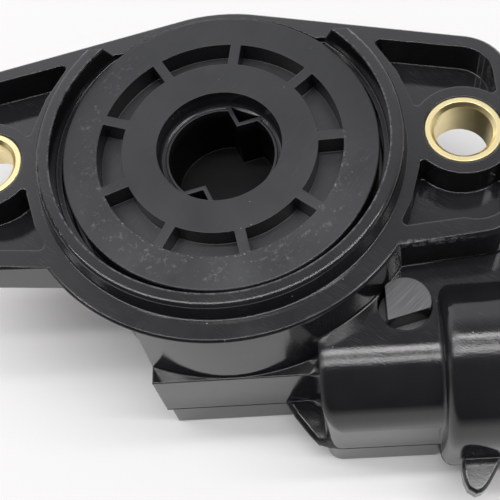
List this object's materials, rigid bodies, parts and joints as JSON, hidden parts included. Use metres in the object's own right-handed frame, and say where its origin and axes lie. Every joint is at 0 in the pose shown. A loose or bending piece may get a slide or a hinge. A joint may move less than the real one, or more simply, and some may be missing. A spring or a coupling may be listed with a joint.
{
  "type": "throttle position sensor",
  "caption": "Rotary throttle position sensor: flanged black housing with metal-sleeved mounting ears, a sprung turning drive rotor and a side electrical connector.",
  "frame": {"origin": "on the rotor's axis, in the plane of the mounting face", "axes": "+Z out of the mounting face, +X along the ears and out of the connector's mouth, +Y away from the connector"},
  "size_m": [0.0651, 0.0462, 0.0224],
  "materials": {
    "housing_plastic": "satin black glass-filled moulding, gloss on the side walls",
    "rotor_plastic": "satin black moulding with fine scratches",
    "plug_plastic": "dark grey, brushed on its top",
    "bush_brass": "dull plated brass, worn on the rim",
    "seal_rubber": "matt",
    "washer_plastic": "slippery white",
    "spring_steel": "drawn wire",
    "carrier_plastic": "natural glass-filled moulding",
    "contact_alloy": "bright rolled strip",
    "board_ceramic": "fired ceramic",
    "carbon_film": "printed film",
    "silver_print": "printed silver",
    "terminal_tin": "tinned strip"
  },
  "bodies": {
    "sensor_body": {"housing": "housing_plastic", "left_bush": "bush_brass", "right_bush": "bush_brass", "vent_plug": "plug_plastic", "dust_seal": "seal_rubber", "thrust_washer": "washer_plastic", "return_spring": "spring_steel", "element_board": "board_ceramic", "resistive_track": "carbon_film", "collector_track": "carbon_film", "conductor_traces": "silver_print", "board_clip_1": "contact_alloy", "board_clip_2": "contact_alloy", "board_clip_3": "contact_alloy", "terminal_1": "terminal_tin", "terminal_2": "terminal_tin", "terminal_3": "terminal_tin", "cover_seal": "seal_rubber", "rear_cover": "housing_plastic"},
    "rotor_body": {"rotor": "rotor_plastic", "retaining_ring": "spring_steel", "wiper_carrier": "carrier_plastic", "track_wiper": "contact_alloy", "collector_wiper": "contact_alloy"}
  },
  "joints": [
    {"name": "rotor_turn", "type": "hinge", "parent": "sensor_body", "child": "rotor_body", "pos_m": [0, 0, 0], "axis": [0, 0, 1], "range_deg": [0, 100], "stiffness_Nm_per_rad": 0.005, "springref_deg": -45.84, "deforming": ["return_spring"]}
  ]
}
